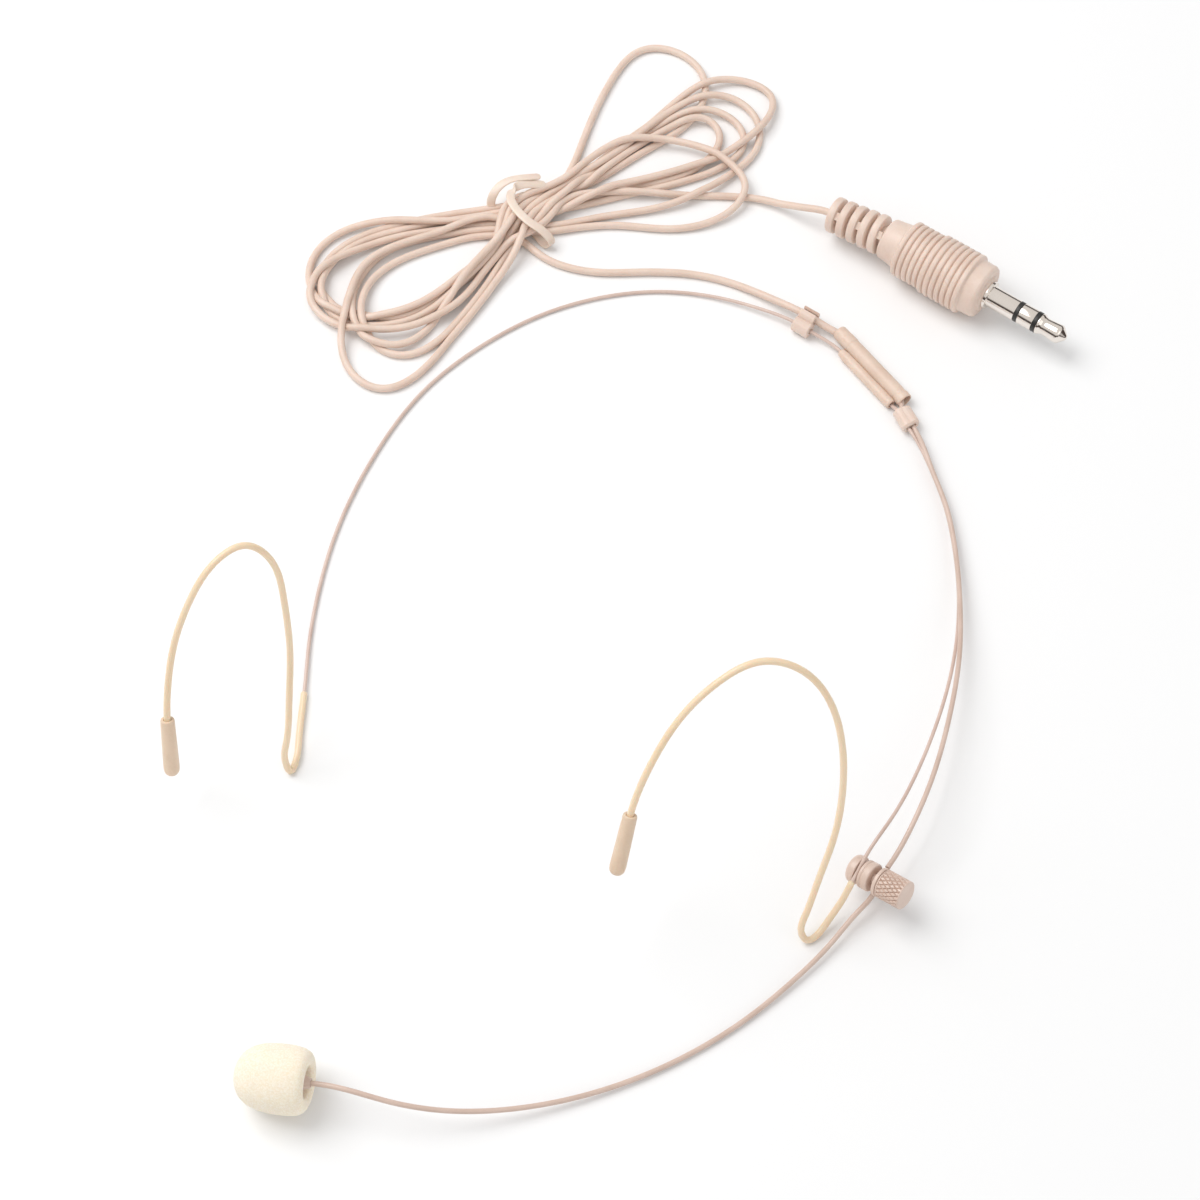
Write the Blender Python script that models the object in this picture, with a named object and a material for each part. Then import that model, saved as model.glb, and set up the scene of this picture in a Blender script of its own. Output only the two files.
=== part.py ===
"""Double ear-hook headset microphone lying on a table, with its tied cord and 3.5 mm plug.

Units: the constants and route points are in millimetres, the objects in metres. +Z is up,
the table is z = 0, the wearer's face would be towards -Y and the back of the head towards
+Y. The origin is on the table under the middle of the headset itself.
"""
import math

import bmesh
import bpy
import numpy as np
from mathutils import Matrix, Vector

MM = 0.001

# ---- driving dimensions -------------------------------------------------------------
WIRE_R = 0.28            # spring wire of the headband and both ear hooks
SLEEVE_R = 0.50          # soft sleeve over the ear hooks
SLEEVE_BORE_R = 0.38
BOOM_R = 0.38            # thin tube that carries the microphone
CABLE_R = 0.575          # round cord
TIP_R = 1.02             # tip cap, narrow end
TIP_END_R = 1.16         # tip cap, wide end
TIP_LENGTH = 9.6
TIP_BORE_R = 0.62
TIP_BORE_DEPTH = 5.0
FIT = 0.05               # gap between pieces that are assembled closely
CORD_GAP = 0.3           # gap between the cord's own solids

# Clamp on the right: disc radius, and where each disc starts and ends along the axis.
CLAMP_R = 2.15
STUD_R = 0.80
HEAD_SPAN = (0.0, 1.60)
SPACER_SPAN = (2.32, 3.95)
WASHER_SPAN = (4.86, 5.40)
KNOB_SPAN = (5.45, 9.50)
STUD_END = 8.5
WIRE_ALONG = 1.95        # headband wire, along the clamp's axis
WIRE_OFFSET = 1.60       # and above it
BOOM_ALONG = 4.41        # boom tube, along the axis
BOOM_OFFSET = 1.35       # and below it

# Junction between cord and boom, and the guide tube beside it for the headband wire.
BARREL_R = 1.27
BARREL_BORE_R = 0.98
GUIDE_R = 0.72
GUIDE_BORE_R = 0.46
BARREL_LENGTH = 16.6
GUIDE_START = 3.0
GUIDE_LENGTH = 12.6

# Microphone head: everything is measured from the mouth of the foam windscreen.
FOAM_R = 4.8
FOAM_LENGTH = 10.4
FOAM_CAVITY_R = 2.15
FOAM_CAVITY_DEPTH = 8.8
CAN_R = 2.0
CAN_SPAN = (3.15, 8.2)
BOOT_SPAN = (-0.3, 3.1)

# 3.5 mm three-pole plug: everything is measured from its shoulder.
PIN_R = 1.75
PIN_LENGTH = 14.0
TIP_START = 9.00
RING_SPAN = (5.70, 8.25)
SLEEVE_END = 4.95
CORE_R = 0.50
BODY_R = 5.15
BODY_END = -19.8
RELIEF_END = -30.0
RELIEF_RINGS = 5
RELIEF_GAP = 0.25        # room for the relief's tilt behind the body

# ---- places ---------------------------------------------------------------------------
CLAMP_HEAD = Vector((39.2, -32.85, 4.22))        # middle of the head's outer face
CLAMP_AXIS = Vector((0.76, -0.60, 0.25)).normalized()
WIRE_DIRECTION = Vector((-0.478, -0.777, -0.409))
CLAMP_UP = Vector((-0.44, -0.19, 0.877))
FOAM_MOUTH = Vector((-36.0, -65.6, 5.4))
FOAM_AXIS = Vector((-0.97, 0.17, -0.10)).normalized()
PLUG_SHOULDER = Vector((65.9, 66.2, 5.2))
PLUG_AXIS = Vector((0.808, -0.589, 0.0)).normalized()
RELIEF_AXIS = Vector((0.838, -0.539, 0.082)).normalized()   # the relief droops a little
BARREL_TOP = Vector((41.75, 62.0, 1.3))
BARREL_AXIS = Vector((0.594, -0.804, 0.0)).normalized()
GUIDE_OFFSET = Vector((-1.60, -1.18, -0.47))     # from the barrel's axis to the guide's
CLIP_CENTRE = Vector((35.9, 62.9, 1.4))          # on the headband wire
CLIP_AXIS = Vector((0.82, -0.572, -0.02)).normalized()
CLIP_CABLE = (1.8, 0.85)                         # cord beside the wire: outward, up
COLLAR_CENTRE = Vector((51.5, 45.25, 1.4))
COLLAR_AXIS = Vector((0.42, -0.907, 0.0)).normalized()
COLLAR_PAIR = (-0.42, 0.36)                      # wire and boom across the collar

LEFT_TIP = Vector((-57.4, -16.4, 17.7))
LEFT_TIP_AXIS = Vector((-0.01, -0.46, -0.888)).normalized()
RIGHT_TIP = Vector((7.6, -34.9, 25.3))
RIGHT_TIP_AXIS = Vector((-0.20, -0.54, -0.817)).normalized()

# ---- routes of the bent wires ------------------------------------------------------------
LEFT_HOOK = [
    (-56.9, -13.6, 22.4), (-55.4, -9.6, 28.4), (-53.0, -5.9, 33.1), (-49.4, -1.9, 36.6),
    (-45.6, 0.5, 37.0), (-42.6, 0.6, 33.9), (-40.9, -2.2, 26.7), (-40.6, -6.0, 19.0),
    (-41.2, -10.1, 11.6), (-42.0, -13.8, 5.4), (-42.3, -15.5, 1.9), (-41.7, -16.1, 0.65),
    (-41.1, -14.6, 0.55), (-40.8, -10.9, 0.6),
]
HEADBAND = [
    (-40.4, -2.5, 0.6), (-40.2, 4.5, 0.5), (-39.2, 14.5, 0.4), (-36.6, 26.5, 0.4),
    (-31.6, 39.3, 0.4), (-24.5, 51.1, 0.4), (-15.7, 59.7, 0.4), (-6.3, 65.8, 0.4),
    (3.5, 69.4, 0.4), (13.4, 70.6, 0.4), (22.9, 69.1, 0.7), (30.0, 66.3, 1.2),
]
RIGHT_WIRE = [
    (53.2, 41.0, 1.0), (55.1, 35.6, 0.8), (56.6, 30.0, 0.8), (57.5, 23.2, 1.0),
    (57.6, 12.0, 1.8), (56.1, 1.5, 3.0), (52.8, -9.8, 4.6), (48.4, -20.5, 6.5),
    (44.4, -27.8, 7.9),
]
RIGHT_HOOK = [
    (37.7, -37.8, 3.4), (35.7, -40.2, 1.5), (34.1, -42.0, 0.65), (32.9, -42.7, 0.65),
    (31.9, -42.2, 2.0), (32.3, -40.7, 4.6), (34.0, -37.3, 9.4), (35.8, -33.7, 14.7),
    (36.8, -29.4, 21.5), (36.4, -25.6, 28.0), (34.4, -22.3, 34.3), (30.1, -20.3, 39.6),
    (24.6, -20.4, 41.8), (19.4, -22.6, 40.6), (14.0, -26.4, 36.7), (10.6, -30.1, 32.1),
]
BOOM_REAR = [
    (53.6, 40.9, 1.7), (55.0, 35.5, 1.75), (56.6, 29.6, 1.8), (57.55, 22.4, 2.0),
    (57.65, 11.8, 2.9), (56.85, 2.0, 4.1), (54.6, -9.0, 5.5), (51.1, -20.3, 6.3),
    (48.3, -26.7, 6.3), (45.5, -31.6, 5.15),
]
BOOM_FRONT = [
    (39.6, -39.5, 2.35), (36.5, -43.0, 1.5), (30.7, -48.8, 0.9), (23.6, -54.7, 0.6),
    (14.3, -60.5, 0.6), (3.5, -65.1, 0.9), (-7.4, -67.9, 1.9), (-17.2, -68.9, 3.6),
    (-25.0, -68.2, 5.2),
]
CORD_LEAD = [
    (42.2, 61.3, 1.3), (39.9, 62.7, 1.5), (37.4, 64.1, 2.2), (32.9, 67.2, 1.8),
    (29.2, 69.8, 1.0), (23.6, 72.6, 0.6), (18.0, 74.0, 0.6), (10.0, 74.4, 0.6),
    (3.5, 74.2, 0.6), (-1.8, 75.2, 0.6), (-5.3, 77.6, 0.6), (-6.6, 79.2, 0.6),
]
CORD_TAIL = [
    (29.4, 89.3, 0.6), (31.85, 88.3, 1.1), (33.75, 87.2, 1.9), (35.6, 86.1, 2.8),
    (37.5, 85.1, 3.6), (39.4, 84.35, 4.1), (41.35, 83.35, 4.38), (43.7, 81.85, 4.6),
]
HANK_OUTLINE = [
    (-11.0, 90.4), (-13.2, 88.4), (-21, 88), (-38, 85), (-44, 80), (-45, 71), (-42, 63),
    (-38.5, 56), (-34, 51), (-28.5, 51), (-19, 61), (-11, 74), (-7.0, 81.6), (-4.8, 83.6),
    (3, 83), (13, 82.4), (23, 84.2), (28, 89), (32, 100), (34, 108), (32, 114), (21, 121),
    (13, 124), (6, 120), (1, 108), (-4, 94),
]
HANK_HEIGHT = 4.6
TIE_CENTRE = Vector((-9.0, 86.0, 0.0))
TIE_ANGLE = math.radians(42)
TIE_WIDTH = 1.6
TIE_THICK = 0.5


# ---- materials ----------------------------------------------------------------------------
def material(name, colour, roughness, metallic=0.0):
    made = bpy.data.materials.new(name)
    made.use_nodes = True
    shader = made.node_tree.nodes["Principled BSDF"]
    shader.inputs["Base Color"].default_value = (*colour, 1.0)
    shader.inputs["Roughness"].default_value = roughness
    shader.inputs["Metallic"].default_value = metallic
    return made


# ---- shared shape tools ---------------------------------------------------------------------
def metres(points):
    return [Vector(point) * MM for point in points]


def natural_spline(points, per_span=24):
    """Dense points on the smooth curve through the given ones."""
    knots = np.array([tuple(point) for point in points], dtype=float)
    chord = np.linalg.norm(np.diff(knots, axis=0), axis=1)
    count = len(knots)
    system = np.zeros((count, count))
    target = np.zeros((count, 3))
    system[0, 0] = 1.0
    system[-1, -1] = 1.0
    slope = np.diff(knots, axis=0) / chord[:, None]
    for i in range(1, count - 1):
        system[i, i - 1:i + 2] = chord[i - 1], 2 * (chord[i - 1] + chord[i]), chord[i]
        target[i] = 6 * (slope[i] - slope[i - 1])
    bend = np.linalg.solve(system, target)
    dense = []
    for i, length in enumerate(chord):
        for t in np.linspace(0.0, length, per_span, endpoint=False):
            rest = length - t
            dense.append(
                (bend[i] * rest ** 3 + bend[i + 1] * t ** 3) / (6 * length)
                + (knots[i] / length - bend[i] * length / 6) * rest
                + (knots[i + 1] / length - bend[i + 1] * length / 6) * t)
    dense.append(knots[-1])
    return np.array(dense)


def thin_out(dense, longest, turn_degrees=18.0):
    """Keep a point every so far, and more of them where the curve bends."""
    kept = [dense[0]]
    heading = dense[1] - dense[0]
    heading /= np.linalg.norm(heading)
    run = 0.0
    for before, here, after in zip(dense, dense[1:], dense[2:]):
        run += np.linalg.norm(here - before)
        ahead = (after - here) / np.linalg.norm(after - here)
        turned = math.degrees(math.acos(min(1.0, float(np.dot(heading, ahead)))))
        if run >= longest or turned >= turn_degrees:
            kept.append(here)
            heading = ahead
            run = 0.0
    if np.linalg.norm(kept[-1] - dense[-1]) < 0.3 * longest and len(kept) > 2:
        kept.pop()
    kept.append(dense[-1])
    return [Vector(point) for point in kept]


def add_object(name, data, look):
    made = bpy.data.objects.new(name, data)
    bpy.context.scene.collection.objects.link(made)
    data.materials.append(look)
    return made


def smooth_shade(mesh, angle=35.0):
    mesh.shade_smooth()
    mesh.set_sharp_from_angle(angle=math.radians(angle))


def wire_object(name, path, radius, look):
    """A solid round wire: a poly curve with a bevel and filled caps."""
    curve = bpy.data.curves.new(name, "CURVE")
    curve.dimensions = "3D"
    curve.bevel_depth = radius * MM
    curve.bevel_resolution = 2
    curve.render_resolution_u = 0
    curve.use_fill_caps = True
    spline = curve.splines.new("POLY")
    spline.points.add(len(path) - 1)
    for slot, point in zip(spline.points, metres(path)):
        slot.co = (*point, 1.0)
    return add_object(name, curve, look)


def sleeve_object(name, path, outer, inner, look, sides=8):
    """A hollow tube along a path, open at both ends."""
    spots = metres(path)
    bm = bmesh.new()
    side = Vector((0.0, 0.0, 1.0))
    loops = []
    for i, spot in enumerate(spots):
        ahead = spots[min(i + 1, len(spots) - 1)] - spots[max(i - 1, 0)]
        ahead.normalize()
        side = side - ahead * side.dot(ahead)
        if side.length < 0.2:
            side = ahead.orthogonal()
        side.normalize()
        other = ahead.cross(side)
        rings = []
        for radius in (outer, inner):
            ring = []
            for k in range(sides):
                turn = 2 * math.pi * k / sides
                reach = side * math.cos(turn) + other * math.sin(turn)
                ring.append(bm.verts.new(spot + reach * radius * MM))
            rings.append(ring)
        loops.append(rings)
    for k in range(sides):
        n = (k + 1) % sides
        for (out_a, in_a), (out_b, in_b) in zip(loops, loops[1:]):
            bm.faces.new((out_a[k], out_b[k], out_b[n], out_a[n]))
            bm.faces.new((in_a[k], in_a[n], in_b[n], in_b[k]))
        for out_end, in_end in (loops[0], loops[-1]):
            bm.faces.new((out_end[k], out_end[n], in_end[n], in_end[k]))
    bmesh.ops.recalc_face_normals(bm, faces=bm.faces)
    mesh = bpy.data.meshes.new(name)
    bm.to_mesh(mesh)
    bm.free()
    smooth_shade(mesh, 50.0)
    return add_object(name, mesh, look)


def axis_frame(origin, axis, up=(0.0, 0.0, 1.0)):
    """A placement whose local X runs along axis, in metres."""
    along = Vector(axis).normalized()
    across = Vector(up).cross(along).normalized()
    third = along.cross(across)
    rotation = Matrix((along, across, third)).transposed().to_4x4()
    return Matrix.Translation(Vector(origin) * MM) @ rotation


def turned(name, profile, frame, look, segments=24):
    """A body turned about local X from a closed profile of (along, radius) points."""
    bm = bmesh.new()
    verts = [bm.verts.new((along * MM, 0.0, radius * MM)) for along, radius in profile]
    edges = []
    for a, b in zip(verts, verts[1:] + verts[:1]):
        if a.co.z > 1e-9 or b.co.z > 1e-9:
            edges.append(bm.edges.new((a, b)))
    bmesh.ops.spin(bm, geom=verts + edges, cent=(0, 0, 0), axis=(1, 0, 0),
                   angle=2 * math.pi, steps=segments, use_merge=True)
    bmesh.ops.remove_doubles(bm, verts=bm.verts, dist=1e-7)
    bmesh.ops.recalc_face_normals(bm, faces=bm.faces)
    mesh = bpy.data.meshes.new(name)
    bm.to_mesh(mesh)
    bm.free()
    smooth_shade(mesh)
    made = add_object(name, mesh, look)
    made.matrix_world = frame
    return made


def cutter(made):
    made.hide_render = True
    made.display_type = "WIRE"
    return made


def boolean(target, tool, operation):
    step = target.modifiers.new(operation.lower(), "BOOLEAN")
    step.operation = operation
    step.object = cutter(tool)
    step.solver = "EXACT"


# ---- headband, ear hooks and their caps ------------------------------------------------------
def wire_route():
    """The one spring wire, from inside the left cap to inside the right one."""
    grip = clamp_point(WIRE_ALONG, WIRE_OFFSET)
    guide = [barrel_point(GUIDE_START + part * GUIDE_LENGTH, GUIDE_OFFSET)
             for part in (-0.04, 0.12, 0.32, 0.5, 0.68, 0.88, 1.04)]
    across = COLLAR_AXIS.cross(Vector((0.0, 0.0, 1.0)))
    collar = [COLLAR_CENTRE - across * COLLAR_PAIR[0] + COLLAR_AXIS * step for step in (-2.0, 0.0, 2.0)]
    clip = [CLIP_CENTRE + CLIP_AXIS * step for step in (-2.2, 2.2)]
    left = [LEFT_TIP + LEFT_TIP_AXIS * step for step in (4.4, 2.2, 0.0)] + LEFT_HOOK
    right = RIGHT_HOOK + [RIGHT_TIP + RIGHT_TIP_AXIS * step for step in (0.0, 2.2, 4.4)]
    clamp = [grip + WIRE_DIRECTION * step for step in (-2.4, 0.0, 2.4)]
    return left, HEADBAND + clip + guide + collar + RIGHT_WIRE + clamp, right


def clamp_point(along, above):
    return CLAMP_HEAD + CLAMP_AXIS * along + CLAMP_UP * above


def barrel_point(along, offset=Vector((0.0, 0.0, 0.0))):
    return BARREL_TOP + BARREL_AXIS * along + offset


def build_wire(looks):
    left, middle, right = wire_route()
    path = thin_out(natural_spline(left + middle + right), 4.0)
    wire_object("headband_wire", path, WIRE_R, looks["wire"])

    def nearest(target):
        return min(range(len(path)), key=lambda i: (path[i] - Vector(target)).length)

    left_end = nearest(HEADBAND[0])
    right_start = nearest(middle[-1])
    left_path = path[1:left_end + 1]
    right_path = [clamp_point(WIRE_ALONG, WIRE_OFFSET) + WIRE_DIRECTION * 1.8] + path[right_start:-1]
    sleeve_object("left_hook_sleeve", left_path, SLEEVE_R, SLEEVE_BORE_R, looks["sleeve"])
    sleeve_object("right_hook_sleeve", right_path, SLEEVE_R, SLEEVE_BORE_R, looks["sleeve"])
    cap = [(0.0, TIP_BORE_R), (0.0, TIP_R - 0.15), (0.15, TIP_R), (TIP_LENGTH - 0.9, TIP_END_R),
           (TIP_LENGTH - 0.3, TIP_END_R - 0.25), (TIP_LENGTH, 0.45), (TIP_LENGTH, 0.0),
           (TIP_BORE_DEPTH, 0.0), (TIP_BORE_DEPTH, TIP_BORE_R)]
    for name, spot, axis in (("left_tip_cap", LEFT_TIP, LEFT_TIP_AXIS),
                             ("right_tip_cap", RIGHT_TIP, RIGHT_TIP_AXIS)):
        turned(name, cap, axis_frame(spot, axis, (1.0, 0.0, 0.0)), looks["tip"], 16)


# ---- clamp -----------------------------------------------------------------------------------
def disc_profile(span, radius, bore, round_near=0.0, round_far=0.0):
    near, far = span
    return [(near, bore), (near, radius - round_near), (near + round_near, radius),
            (far - round_far, radius), (far, radius - round_far), (far, bore)]


def build_clamp(looks):
    frame = axis_frame(CLAMP_HEAD, CLAMP_AXIS)
    near, far = HEAD_SPAN
    screw = [(near, 0.0), (near, CLAMP_R - 0.55), (near + 0.15, CLAMP_R - 0.22),
             (near + 0.55, CLAMP_R), (far, CLAMP_R), (far, STUD_R), (STUD_END, STUD_R),
             (STUD_END, 0.0)]
    turned("clamp_screw", screw, frame, looks["clamp"], 24)
    turned("clamp_spacer", disc_profile(SPACER_SPAN, CLAMP_R, STUD_R + FIT, 0.1, 0.1),
           frame, looks["clamp"], 24)
    turned("clamp_washer", disc_profile(WASHER_SPAN, CLAMP_R + 0.05, STUD_R + FIT, 0.08, 0.08),
           frame, looks["clamp"], 24)
    near, far = KNOB_SPAN
    knob = [(near, STUD_R + FIT), (near, CLAMP_R - 0.15), (near + 0.15, CLAMP_R),
            (far - 0.2, CLAMP_R), (far, CLAMP_R - 0.2), (far, 0.0),
            (STUD_END + 0.3, 0.0), (STUD_END + 0.3, STUD_R + FIT)]
    turned("clamp_knob", knob, frame, looks["clamp"], 24)


# ---- boom and microphone head ------------------------------------------------------------------
def boom_pinch():
    """Where the boom passes the clamp, and which way it runs there."""
    centre = clamp_point(BOOM_ALONG, -BOOM_OFFSET)
    along = CLAMP_UP.cross(CLAMP_AXIS)
    if along.y > 0:
        along.negate()
    return centre, along.normalized()


def mic_point(along):
    return FOAM_MOUTH + FOAM_AXIS * along


def build_boom(looks):
    centre, along = boom_pinch()
    across = COLLAR_AXIS.cross(Vector((0.0, 0.0, 1.0)))
    collar = [COLLAR_CENTRE - across * COLLAR_PAIR[1] + COLLAR_AXIS * step for step in (-2.0, 0.0, 2.0)]
    rear = [barrel_point(BARREL_LENGTH - 3.5), barrel_point(BARREL_LENGTH - 1.0)] + collar
    rear += BOOM_REAR + [centre - along * 2.4]
    wire_object("boom_rear_tube", thin_out(natural_spline(rear), 4.0), BOOM_R, looks["boom"])
    front = [centre - along * 2.0, centre, centre + along * 2.0] + BOOM_FRONT
    front += [mic_point(-2.4), mic_point(0.0), mic_point(2.6)]
    wire_object("boom_front_tube", thin_out(natural_spline(front), 4.0), BOOM_R, looks["boom"])


def build_microphone(looks):
    frame = axis_frame(FOAM_MOUTH, FOAM_AXIS)
    near, far = BOOT_SPAN
    boot = [(near, BOOM_R + FIT + 0.04), (near, BOOM_R + 0.28), (far, CAN_R), (far, BOOM_R + FIT + 0.04)]
    turned("capsule_boot", boot, frame, looks["boom"], 20)
    near, far = CAN_SPAN
    wall = 0.2
    can = [(near, CAN_R - wall), (near, CAN_R), (far - 0.2, CAN_R), (far, CAN_R - 0.2),
           (far, 0.4), (far - wall, 0.4), (far - wall, CAN_R - wall)]
    turned("capsule_can", can, frame, looks["metal"], 24)
    inside = CAN_R - wall - 0.1
    turned("capsule_diaphragm", disc_profile((far - 1.0, far - 0.6), inside, 0.0), frame,
           looks["brass"], 24)
    turned("capsule_board", disc_profile((near + 0.2, near + 0.8), inside, 0.0), frame,
           looks["board"], 24)
    cavity = FOAM_CAVITY_R
    foam = [(0.05, cavity + 0.2), (-0.05, cavity + 0.9), (0.2, FOAM_R - 0.95),
            (0.8, FOAM_R - 0.38), (1.9, FOAM_R - 0.06), (3.5, FOAM_R), (6.0, FOAM_R - 0.08),
            (7.7, FOAM_R - 0.5), (9.0, FOAM_R - 1.35), (9.9, FOAM_R - 2.5),
            (FOAM_LENGTH, 1.0), (FOAM_LENGTH, 0.0), (FOAM_CAVITY_DEPTH, 0.0),
            (FOAM_CAVITY_DEPTH, cavity - 0.3), (FOAM_CAVITY_DEPTH - 0.5, cavity),
            (0.8, cavity)]
    turned("foam_windscreen", foam, frame, looks["foam"], 24)


# ---- junction, clip and collar -------------------------------------------------------------------
def build_junction(looks):
    frame = axis_frame(BARREL_TOP, BARREL_AXIS)
    length = BARREL_LENGTH
    barrel = [(0.0, BARREL_BORE_R), (0.0, BARREL_R - 0.2), (0.25, BARREL_R),
              (length - 0.25, BARREL_R), (length, BARREL_R - 0.2), (length, BARREL_BORE_R)]
    turned("junction_barrel", barrel, frame, looks["plastic"], 20)
    guide_frame = axis_frame(barrel_point(GUIDE_START, GUIDE_OFFSET), BARREL_AXIS)
    turned("wire_guide_tube", disc_profile((0.0, GUIDE_LENGTH), GUIDE_R, GUIDE_BORE_R, 0.1, 0.1),
           guide_frame, looks["plastic"], 16)
    splice = [(2.0, CABLE_R + 0.08), (2.0, BARREL_BORE_R - 0.1), (length - 4.5, BARREL_BORE_R - 0.1),
              (length - 4.5, CABLE_R + 0.08)]
    turned("splice_tube", splice, frame, looks["black"], 20)


def build_cable_clip(looks):
    """A bead on the headband wire, with an open channel above it for the cord."""
    frame = axis_frame(CLIP_CENTRE, CLIP_AXIS)
    length = 3.0
    half = length / 2
    bead = turned("cable_clip", disc_profile((-half, half), 1.3, 0.0, 0.15, 0.15),
                  frame, looks["plastic"], 20)
    # Local Y of this frame points to the outside of the band, local Z up.
    outward, up = CLIP_CABLE
    shift = frame @ Matrix.Translation((0.0, outward * MM, up * MM))
    channel = turned("clip_channel", disc_profile((-half + 0.12, half - 0.12), 1.26, 0.0, 0.1, 0.1),
                     shift, looks["plastic"], 18)
    boolean(bead, channel, "UNION")
    for name, spot, radius in (("clip_wire_bore", frame, 0.5), ("clip_cord_bore", shift, 0.78)):
        bore = turned(name, disc_profile((-half - 1, half + 1), radius, 0.0), spot,
                      looks["plastic"], 20)
        boolean(bead, bore, "DIFFERENCE")
    bm = bmesh.new()
    bmesh.ops.create_cube(bm, size=1.0)
    bmesh.ops.scale(bm, verts=bm.verts, vec=((length + 2) * MM, 0.95 * MM, 2.0 * MM))
    mesh = bpy.data.meshes.new("clip_slot")
    bm.to_mesh(mesh)
    bm.free()
    slot = add_object("clip_slot", mesh, looks["plastic"])
    lean = Matrix.Rotation(math.radians(-20), 4, "X")
    slot.matrix_world = shift @ lean @ Matrix.Translation((0.0, 0.0, 1.15 * MM))
    boolean(bead, slot, "DIFFERENCE")


def build_collar(looks):
    """A two-lobed bead that holds the headband wire and the boom side by side."""
    frame = axis_frame(COLLAR_CENTRE, COLLAR_AXIS)
    half = 1.8
    lobe = frame @ Matrix.Translation((0.0, -0.30 * MM, 0.0))
    outline = disc_profile((-half, half), 1.15, 0.0, 0.25, 0.25)
    bead = turned("boom_clip", outline, lobe, looks["plastic"], 20)
    other_lobe = frame @ Matrix.Translation((0.0, 0.42 * MM, 0.0))
    outline = disc_profile((0.12 - half, half - 0.12), 1.22, 0.0, 0.2, 0.2)
    other = turned("collar_lobe", outline, other_lobe, looks["plastic"], 18)
    boolean(bead, other, "UNION")
    for name, across, radius in (("collar_wire_bore", COLLAR_PAIR[0], 0.45),
                                 ("collar_boom_bore", COLLAR_PAIR[1], 0.60)):
        spot = frame @ Matrix.Translation((0.0, across * MM, 0.0))
        bore = turned(name, disc_profile((-half - 1, half + 1), radius, 0.0), spot,
                      looks["plastic"], 20)
        boolean(bead, bore, "DIFFERENCE")


# ---- cord, tie and plug ----------------------------------------------------------------------------
def build_cord(looks):
    wire_object("cord_lead", thin_out(natural_spline(CORD_LEAD), 3.0, 18.0), CABLE_R, looks["cord"])
    wire_object("cord_tail", thin_out(natural_spline(CORD_TAIL), 3.0, 18.0), CABLE_R, looks["cord"])
    bm = bmesh.new()
    corners = [bm.verts.new((x * MM, y * MM, 0.0)) for x, y in HANK_OUTLINE]
    base = bm.faces.new(corners)
    grown = bmesh.ops.extrude_face_region(bm, geom=[base])
    top = [item for item in grown["geom"] if isinstance(item, bmesh.types.BMVert)]
    bmesh.ops.translate(bm, verts=top, vec=(0.0, 0.0, HANK_HEIGHT * MM))
    bmesh.ops.recalc_face_normals(bm, faces=bm.faces)
    mesh = bpy.data.meshes.new("cord_hank")
    bm.to_mesh(mesh)
    bm.free()
    hank = add_object("cord_hank", mesh, looks["cord"])
    edge = hank.modifiers.new("round_edges", "BEVEL")
    edge.width = 1.2 * MM
    edge.segments = 2
    edge.limit_method = "ANGLE"
    edge.angle_limit = math.radians(60)


def build_tie(looks):
    """A flat strip bent over the hank's waist."""
    reach = 5.0
    top = HANK_HEIGHT + CORD_GAP
    outer = [(-reach - TIE_THICK, CORD_GAP), (-reach - TIE_THICK, top), (-reach, top + TIE_THICK),
             (reach, top + TIE_THICK), (reach + TIE_THICK, top), (reach + TIE_THICK, CORD_GAP)]
    inner = [(reach, CORD_GAP), (reach, top - 0.1), (reach - 0.1, top), (-reach + 0.1, top),
             (-reach, top - 0.1), (-reach, CORD_GAP)]
    bm = bmesh.new()
    verts = [bm.verts.new((0.0, across * MM, up * MM)) for across, up in outer + inner]
    face = bm.faces.new(verts)
    grown = bmesh.ops.extrude_face_region(bm, geom=[face])
    moved = [item for item in grown["geom"] if isinstance(item, bmesh.types.BMVert)]
    bmesh.ops.translate(bm, verts=moved, vec=(TIE_WIDTH * MM, 0.0, 0.0))
    bmesh.ops.recalc_face_normals(bm, faces=bm.faces)
    mesh = bpy.data.meshes.new("cable_tie")
    bm.to_mesh(mesh)
    bm.free()
    tie = add_object("cable_tie", mesh, looks["plastic"])
    tie.matrix_world = (Matrix.Translation(TIE_CENTRE * MM) @ Matrix.Rotation(TIE_ANGLE, 4, "Z")
                        @ Matrix.Translation((-TIE_WIDTH / 2 * MM, 0.0, 0.0)))


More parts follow.
